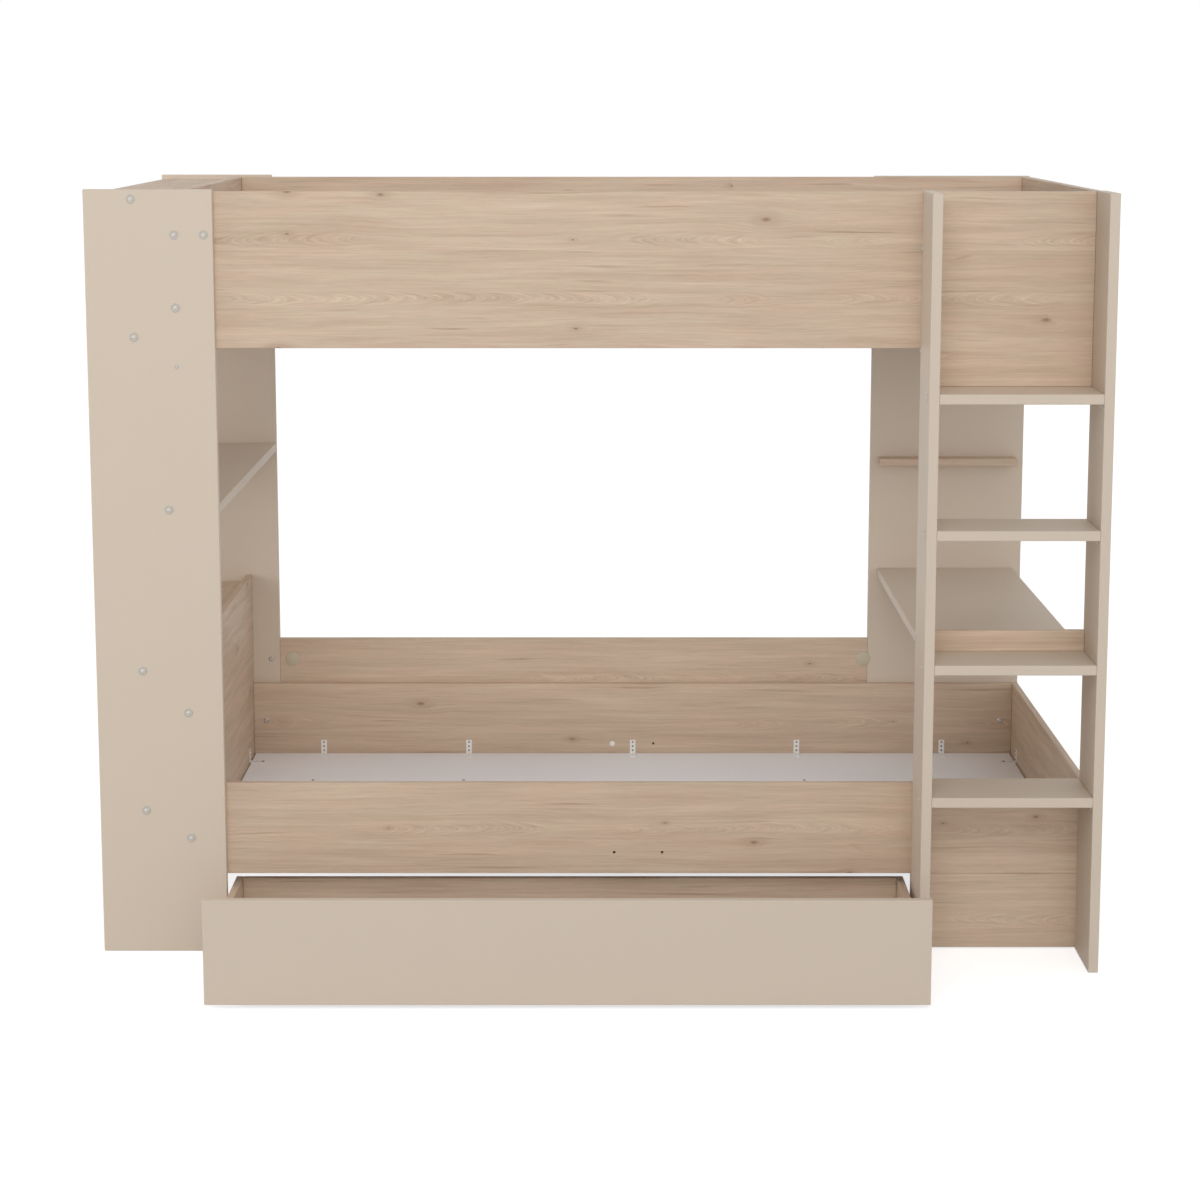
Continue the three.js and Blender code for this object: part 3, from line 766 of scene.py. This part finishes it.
def add_tower_fittings():
    """Caps on both panels of the tower, and the pin beside the rear middle board."""
    places, plug = tower_caps()
    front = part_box("tower_front_panel")[0].y
    rear_low, rear_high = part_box("tower_rear_panel")
    front_caps = spots_on(front, "front", places) + spots_on(front, "front", [plug], PLUG_SHARE)
    rear_caps = spots_on(rear_high.y, "back", places)
    place("tower_front_caps", shapes["cap"], front_caps, cap_plastic)
    place("tower_rear_caps", shapes["cap"], rear_caps, cap_plastic)
    pin_place = (rear_high.x - PIN_SETBACK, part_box("rear_middle_board")[1].z - JOINT_DROP)
    pin = spots_on(rear_low.y, "front", [pin_place])
    place("tower_pin", shapes["screw"], pin, bolt_steel, size=PIN_SHARE)


# Fittings of the ladder, the desk and the ledge

STEPS = [f"ladder_step_{number}" for number in range(1, 5)]
STEP_BOLT_SETBACK = 30 * MM
INFILL_BOLT_DROP = 123.4 * MM
INFILL_BOLT_RISE = 78.6 * MM
LADDER_CAP_SHARE = 0.85
STEP_CLIP_SETBACK = 34 * MM
CLIP_SCREW_REACH = 8.5 * MM
CLIP_SCREW_SHARE = 0.9
FOOT_BOLT_SETBACK = 60 * MM


def add_ladder_fittings():
    """Caps on the outer sides of both uprights, and the clips and screws that hold the steps."""
    left_low, left_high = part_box("ladder_left_upright")
    right_low, right_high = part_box("ladder_right_upright")
    infill_low, infill_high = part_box("ladder_infill_panel")
    infill_y = middle("ladder_infill_panel").y
    bolts = [(left_low.y + STEP_BOLT_SETBACK, middle(step).z) for step in STEPS]
    bolts += [(infill_y, infill_high.z - INFILL_BOLT_DROP), (infill_y, infill_low.z + INFILL_BOLT_RISE),
              (infill_y, middle("desk_front_lip").z)]
    caps = [((left_low.x, y, z), "left", 1.0) for y, z in bolts]
    caps += [((right_high.x, y, z), "right", 1.0) for y, z in bolts]
    place("ladder_caps", shapes["cap"], caps, cap_plastic, size=LADDER_CAP_SHARE)
    clips = []
    screws = []
    for step in STEPS:
        low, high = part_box(step)
        for x, turn, way in ((left_high.x, (0, 0, 0), 1), (right_low.x, (0, 0, math.pi), -1)):
            for y in (low.y + STEP_CLIP_SETBACK, high.y - STEP_CLIP_SETBACK):
                clips.append(((x, y, low.z), turn, 1.0))
                screws.append(((x + way * CLIP_SCREW_REACH, y, low.z - CLIP_METAL), "down", 1.0))
    place("step_clips", shapes["clip"], clips, bolt_steel)
    place("step_clip_screws", shapes["screw"], screws, screw_steel_painted_shade, size=CLIP_SCREW_SHARE)


def add_foot_end_fittings():
    """Caps at the back of the foot end, where the desk, the ledge and both foot boards are bolted on."""
    places = []
    for node in ("desk_top", "picture_ledge"):
        low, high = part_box(node)
        centre = middle(node)
        for x in (low.x + FOOT_BOLT_SETBACK, centre.x, high.x - FOOT_BOLT_SETBACK):
            places.append((x, centre.z))
    for node in ("upper_foot_board", "lower_foot_board"):
        low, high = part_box(node)
        for z in (low.z + FOOT_BOLT_SETBACK, high.z - FOOT_BOLT_SETBACK):
            places.append((middle(node).x, z))
    caps = spots_on(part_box("foot_rear_panel")[1].y, "back", places)
    place("foot_rear_caps", shapes["cap"], caps, cap_plastic)


# Fittings of the two bunks

LONG_BOARDS = {
    "upper": ("upper_front_guard", "upper_rear_guard"),
    "lower": ("lower_front_board", "lower_rear_board"),
}
END_BOLT_SETBACK = 45 * MM
SMALL_CAP_SHARE = 0.74

# Both bunks have five battens, and the lower one as many straps along its rear in the solids
NUMBERS = range(1, 6)
MIDDLE_NUMBER = 3

# Turns of a strap that stands against the front, rear, head or foot board
STRAP_TURNS = {
    "front": (0, 0, math.pi),
    "rear": (0, 0, 0),
    "head": (0, 0, math.pi / 2),
    "foot": (0, 0, -math.pi / 2),
}
SEAT_GAP = 0.3 * MM
UPPER_STRAP_INSET = 89 * MM
STRAP_METAL = 2 * MM
STRAP_HOLE_SHARES = (1 / 6, 1 / 2, 5 / 6)
STRAP_SCREW_SHARE = 0.62
FLAT_SCREW_SHARE = 0.8
BASE_SCREW_SHARE = 1.1
BASE_SCREW_SETBACK = 256 * MM
BATTEN_SCREW_SETBACK = 60 * MM
BATTEN_SCREW_SHARE = 0.8


def add_end_caps():
    """Caps on the outer faces of the end boards, where the long boards are bolted on."""
    caps = []
    for bunk, long_boards in LONG_BOARDS.items():
        for end, side in (("foot", "right"), ("head", "left")):
            low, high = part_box(f"{bunk}_{end}_board")
            x = high.x if side == "right" else low.x
            for long_board in long_boards:
                long_low, long_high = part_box(long_board)
                for z in (long_low.z + END_BOLT_SETBACK, long_high.z - END_BOLT_SETBACK):
                    caps.append(((x, middle(long_board).y, z), side, 1.0))
    place("end_board_caps", shapes["cap"], caps, cap_plastic, size=SMALL_CAP_SHARE)


def strap_spots(bunk, with_rear):
    """Heels of the straps round a base, where the solids have none: along the front, at both ends."""
    front_board, rear_board = LONG_BOARDS[bunk]
    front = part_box(front_board)[1].y + SEAT_GAP
    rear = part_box(rear_board)[0].y - SEAT_GAP
    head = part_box(f"{bunk}_head_board")[1].x + SEAT_GAP
    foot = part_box(f"{bunk}_foot_board")[0].x - SEAT_GAP
    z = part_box(f"{bunk}_base")[1].z + SEAT_GAP
    inset = rear - middle("base_bracket_head").y if bunk == "lower" else UPPER_STRAP_INSET
    battens = [middle(f"{bunk}_batten_{number}").x for number in NUMBERS]
    spots = [((x, front, z), STRAP_TURNS["front"], 1.0) for x in battens]
    spots.append(((head, front + inset, z), STRAP_TURNS["head"], 1.0))
    spots.append(((foot, front + inset, z), STRAP_TURNS["foot"], 1.0))
    if with_rear:
        spots += [((x, rear, z), STRAP_TURNS["rear"], 1.0) for x in battens]
        spots.append(((head, rear - inset, z), STRAP_TURNS["head"], 1.0))
        spots.append(((foot, rear - inset, z), STRAP_TURNS["foot"], 1.0))
    return spots


def solid_strap_spots():
    """Heels of the straps that the solids have, along the rear of the lower base and at both ends."""
    spots = []
    for number in NUMBERS:
        node = f"base_bracket_{number}"
        low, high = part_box(node)
        spots.append(((middle(node).x, high.y, low.z), STRAP_TURNS["rear"], 1.0))
    for end in ("head", "foot"):
        node = f"base_bracket_{end}"
        low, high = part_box(node)
        x = low.x if end == "head" else high.x
        spots.append(((x, middle(node).y, low.z), STRAP_TURNS[end], 1.0))
    return spots


def strap_screws(spots):
    """Screws in the three holes of each strap's standing leg and in the outer hole of its flat leg.

    They come as two lots: the dark ones, whose darker steel is partly painted shade of the holes they
    sit in, and the bright ones in the flat legs along the long boards.
    """
    dark_screws = []
    bright_screws = []
    low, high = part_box("base_bracket_1")
    rise = high.z - low.z - STRAP_METAL
    reach = high.y - low.y - STRAP_METAL
    for heel, turn, _ in spots:
        spin = Matrix.Rotation(turn[2], 4, "Z")
        for share in STRAP_HOLE_SHARES:
            standing = spin @ Vector((0, -STRAP_METAL, STRAP_METAL + share * rise)) + Vector(heel)
            dark_screws.append((tuple(standing), (math.pi / 2, 0, turn[2]), STRAP_SCREW_SHARE))
        out = STRAP_METAL + STRAP_HOLE_SHARES[-1] * reach
        flat = spin @ Vector((0, -out, STRAP_METAL)) + Vector(heel)
        if turn in (STRAP_TURNS["head"], STRAP_TURNS["foot"]):
            dark_screws.append((tuple(flat), "up", BASE_SCREW_SHARE))
        else:
            bright_screws.append((tuple(flat), "up", FLAT_SCREW_SHARE))
    return dark_screws, bright_screws


def add_straps():
    """Straps round the bases that the solids leave out, and the screws of all straps."""
    lower = strap_spots("lower", False)
    upper = strap_spots("upper", True)
    place("lower_front_straps", shapes["strap"], lower, zinc_steel)
    place("upper_straps", shapes["strap"], upper, zinc_steel)
    dark_screws, bright_screws = strap_screws(lower + upper + solid_strap_spots())
    place("strap_screws", shapes["screw"], dark_screws, screw_steel_painted_shade)
    place("strap_base_screws", shapes["screw"], bright_screws, zinc_steel)


def add_base_screws():
    """Screws at the ends of the battens, and one down through the base into all but the middle one."""
    screws = []
    for bunk in ("upper", "lower"):
        base_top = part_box(f"{bunk}_base")[1].z
        for number in NUMBERS:
            node = f"{bunk}_batten_{number}"
            low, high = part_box(node)
            x = middle(node).x
            for y in (low.y + BATTEN_SCREW_SETBACK, high.y - BATTEN_SCREW_SETBACK):
                screws.append(((x, y, low.z), "down", BATTEN_SCREW_SHARE))
            if number != MIDDLE_NUMBER:
                screws.append(((x, high.y - BASE_SCREW_SETBACK, base_top), "up", BASE_SCREW_SHARE))
    place("base_screws", shapes["screw"], screws, screw_steel_painted_shade)


# What sits in the long lower boards and the rear middle board, with setbacks from the head and the foot

REAR_SCREW_DROP = 100 * MM
REAR_SCREW_SETBACKS = (32 * MM, 31 * MM)
REAR_SCREW_SHARE = 1.7
SPARE_HOLE_SETBACK = 54.5 * MM
SPARE_HOLE_RISE = 49 * MM
METAL_PLUG_SHARE = 0.66
DISC_SETBACKS = (32.3 * MM, 11 * MM)


def add_board_fittings():
    """Two large screws, a metal plug, the floors of three spare holes, near black with painted shade,
    and the round cover discs.
    """
    rear_low, rear_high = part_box("lower_rear_board")
    screw_z = rear_high.z - REAR_SCREW_DROP
    screws = spots_on(rear_low.y, "front", [
        (rear_low.x + REAR_SCREW_SETBACKS[0], screw_z), (rear_high.x - REAR_SCREW_SETBACKS[1], screw_z),
    ])
    place("rear_board_screws", shapes["screw"], screws, bolt_steel, size=REAR_SCREW_SHARE)
    hole_z = rear_low.z + SPARE_HOLE_RISE
    middle_x = middle("lower_rear_board").x
    near_head = (middle_x - SPARE_HOLE_SETBACK, hole_z)
    near_foot = (middle_x + SPARE_HOLE_SETBACK, hole_z)
    plug = spots_on(rear_low.y, "front", [near_head])
    place("rear_board_cap", shapes["cap"], plug, zinc_steel, size=METAL_PLUG_SHARE)
    front_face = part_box("lower_front_board")[0].y
    floors = spots_on(rear_low.y + BORE_DEPTH, "front", [near_foot])
    floors += spots_on(front_face + BORE_DEPTH, "front", [near_head, near_foot])
    # Painted shade: the hole floors are near black
    place("spare_hole_floors", shapes["bore"], floors, bore_painted_shade)
    low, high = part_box("rear_middle_board")
    joint_z = high.z - JOINT_DROP
    joints = [(low.x + DISC_SETBACKS[0], joint_z), (high.x - DISC_SETBACKS[1], joint_z)]
    discs = spots_on(low.y, "front", joints) + spots_on(high.y, "back", joints)
    place("joint_covers", shapes["cover"], discs, disc_plastic)


# Castors and drawer

WHEEL_BORE = 3.4 * MM
WHEEL_TREAD = 4 * MM
WHEEL_STEPS = 48
TREAD_RINGS = range(4, 11)
CASTOR_PLATE = 3 * MM
CASTOR_SCREW_SETBACK = 6 * MM
CASTOR_SCREW_SHARE = 0.7
DRAWER_BOLT_SETBACK = 25 * MM


def wheel_profile(radius, half):
    """A wheel's section as (reach from the axle, place along it) points, once round."""
    rim = radius - WHEEL_TREAD
    side = [
        (WHEEL_BORE, 0), (WHEEL_BORE + 2 * MM, 0), (WHEEL_BORE + 2.4 * MM, 1.5 * MM),
        (rim - 1 * MM, 1.5 * MM), (rim, 0.2 * MM), (radius - 1.5 * MM, 0.4 * MM),
        (radius - 0.4 * MM, 1.4 * MM), (radius, 3 * MM),
    ]
    near = [(reach, inset - half) for reach, inset in side]
    far = [(reach, half - inset) for reach, inset in reversed(side)]
    return near + far


def add_wheel(corner):
    """A moulded hub with a soft tread, turned round its own axle, in the place of the plain solid."""
    node = f"castor_wheel_{corner}"
    low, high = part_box(node)
    centre = middle(node)
    profile = wheel_profile((high.z - low.z) / 2, (high.x - low.x) / 2)
    points = []
    for radius, shift in profile:
        for step in range(WHEEL_STEPS):
            angle = 2 * math.pi * step / WHEEL_STEPS
            points.append((centre.x + shift, centre.y + radius * math.cos(angle),
                           centre.z + radius * math.sin(angle)))
    faces = []
    for ring in range(len(profile)):
        start = ring * WHEEL_STEPS
        above = (ring + 1) % len(profile) * WHEEL_STEPS
        for step in range(WHEEL_STEPS):
            after = (step + 1) % WHEEL_STEPS
            faces.append((start + step, above + step, above + after, start + after))
    wheel = mesh_object(f"wheel_{corner}", points, faces, smooth=True)
    wheel.data.materials.append(hub_plastic)
    wheel.data.materials.append(tyre_rubber)
    for polygon in wheel.data.polygons:
        ring = polygon.index // WHEEL_STEPS
        polygon.material_index = 1 if ring in TREAD_RINGS else 0
    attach(wheel, f"wheel_{corner}")
    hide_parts(node)


def add_drawer_fittings():
    """The wheels, the screws in the castors' plates, and caps on the drawer's sides over its back."""
    screws = []
    for corner in ("front_left", "front_right", "rear_left", "rear_right"):
        add_wheel(corner)
        node = f"castor_housing_{corner}"
        low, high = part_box(node)
        for y in (low.y + CASTOR_SCREW_SETBACK, high.y - CASTOR_SCREW_SETBACK):
            screws.append(((middle(node).x, y, high.z - CASTOR_PLATE), "down", 1.0))
    place("castor_screws", shapes["screw"], screws, zinc_steel, body="drawer",
          size=CASTOR_SCREW_SHARE)
    caps = []
    back = middle("drawer_back").y
    for side in ("left", "right"):
        low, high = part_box(f"drawer_{side}_side")
        x = low.x if side == "left" else high.x
        for z in (low.z + DRAWER_BOLT_SETBACK, high.z - DRAWER_BOLT_SETBACK):
            caps.append(((x, back, z), side, 1.0))
    place("drawer_caps", shapes["cap"], caps, cap_plastic, body="drawer",
          size=SMALL_CAP_SHARE)


add_tower_fittings()
add_ladder_fittings()
add_foot_end_fittings()
add_end_caps()
add_straps()
add_base_screws()
add_board_fittings()
add_drawer_fittings()
for shape in shapes.values():
    bpy.data.objects.remove(shape)


# Studio

WHITE = (1, 1, 1, 1)
FLOOR_REACH = 40
FLOOR_DROP = 1 * MM
FLOOR_TONE = (0.65, 0.65, 0.65, 1)
FLOOR_ROUGHNESS = 0.9
FLOOR_GLOW = 0.66

# How bright the room is on its front side, its wall side, its ladder end and its ceiling
ROOM_LIGHT = {(0, -1, 0): 0.91, (0, 1, 0): 0.78, (1, 0, 0): 0.82, (0, 0, 1): 0.48}


def seen_share(tree):
    """1 for what the camera sees, by itself or in gloss or glass, and 0 for light on its way."""
    rays = tree.nodes.new("ShaderNodeLightPath").outputs
    seen = calc(tree, "MAXIMUM", rays["Is Camera Ray"], rays["Is Glossy Ray"])
    return calc(tree, "MAXIMUM", seen, rays["Is Transmission Ray"])


def add_floor():
    """A pale floor that keeps a soft shadow and runs into the white behind it."""
    corners = [(x * FLOOR_REACH, y * FLOOR_REACH, -FLOOR_DROP)
               for x, y in ((-1, -1), (1, -1), (1, 1), (-1, 1))]
    floor = mesh_object("studio_floor", corners, [(0, 1, 2, 3)])
    material, tree, shader = new_material("studio_floor")
    shader.inputs["Base Color"].default_value = FLOOR_TONE
    shader.inputs["Roughness"].default_value = FLOOR_ROUGHNESS
    white = add_node(tree, "ShaderNodeEmission", {"Color": WHITE, "Strength": FLOOR_GLOW}).outputs[0]
    glow = add_node(tree, "ShaderNodeMixShader", {0: seen_share(tree), 2: white}).outputs[0]
    mixed = add_node(tree, "ShaderNodeAddShader", {0: shader.outputs[0], 1: glow})
    tree.links.new(mixed.outputs[0], tree.nodes["Material Output"].inputs["Surface"])
    floor.data.materials.append(material)


def add_world():
    """Soft light from the sides of the room, each side as strong as ROOM_LIGHT says, seen as white."""
    world = bpy.data.worlds.new("studio")
    bpy.context.scene.world = world
    world.use_nodes = True
    tree = world.node_tree
    tree.nodes.clear()
    way = tree.nodes.new("ShaderNodeTexCoord").outputs["Generated"]
    light = 0.0
    for side, strength in ROOM_LIGHT.items():
        product = add_node(tree, "ShaderNodeVectorMath", {0: way, 1: side}, operation="DOT_PRODUCT")
        facing = calc(tree, "MAXIMUM", product.outputs[1], 0.0)
        light = calc(tree, "MULTIPLY_ADD", calc(tree, "MULTIPLY", facing, facing), strength, light)
    dim = add_node(tree, "ShaderNodeBackground", {"Color": WHITE, "Strength": light})
    bright = add_node(tree, "ShaderNodeBackground", {"Color": WHITE, "Strength": 1.0})
    mixed = add_node(tree, "ShaderNodeMixShader", {
        0: seen_share(tree), 1: dim.outputs[0], 2: bright.outputs[0],
    })
    output = tree.nodes.new("ShaderNodeOutputWorld")
    tree.links.new(mixed.outputs[0], output.inputs["Surface"])


def aim(thing, way):
    """Turns a lamp so that it shines along a way."""
    thing.rotation_euler = Vector(way).to_track_quat("-Z", "Y").to_euler()


def add_softbox(name, spot, target, size, power):
    """A wide soft lamp at a spot, turned towards a target."""
    lamp = bpy.data.lights.new(name, "AREA")
    lamp.shape = "RECTANGLE"
    lamp.size, lamp.size_y = size
    lamp.energy = power
    softbox = add_object(name, lamp)
    softbox.location = spot
    aim(softbox, Vector(target) - Vector(spot))


def add_far_light(name, way, spread, strength):
    """An even soft light from far off, shining along a way."""
    lamp = bpy.data.lights.new(name, "SUN")
    lamp.angle = math.radians(spread)
    lamp.energy = strength
    aim(add_object(name, lamp), way)


def add_camera():
    """The camera of the photograph, a little above the bed and tilted down."""
    lens = bpy.data.cameras.new("camera")
    lens.sensor_width = CAMERA_SENSOR
    lens.lens = CAMERA_LENS
    lens.shift_y = CAMERA_SHIFT
    camera = add_object("camera", lens)
    camera.location = CAMERA_PLACE
    camera.rotation_euler = (math.radians(90 - CAMERA_PITCH), 0, 0)
    bpy.context.scene.camera = camera


add_floor()
add_world()
add_softbox("high_softbox", spot=(0.0, -4.0, 3.6), target=(0, 0, 1.0), size=(3.0, 1.5), power=43)
add_softbox("left_softbox", spot=(-4.5, -0.6, 1.6), target=(0, 0, 0.9), size=(2.5, 2.5), power=62)
add_far_light("level_light", way=(0.0, 1.0, -0.02), spread=40.0, strength=0.72)
add_camera()
bpy.context.scene.view_settings.view_transform = "Standard"
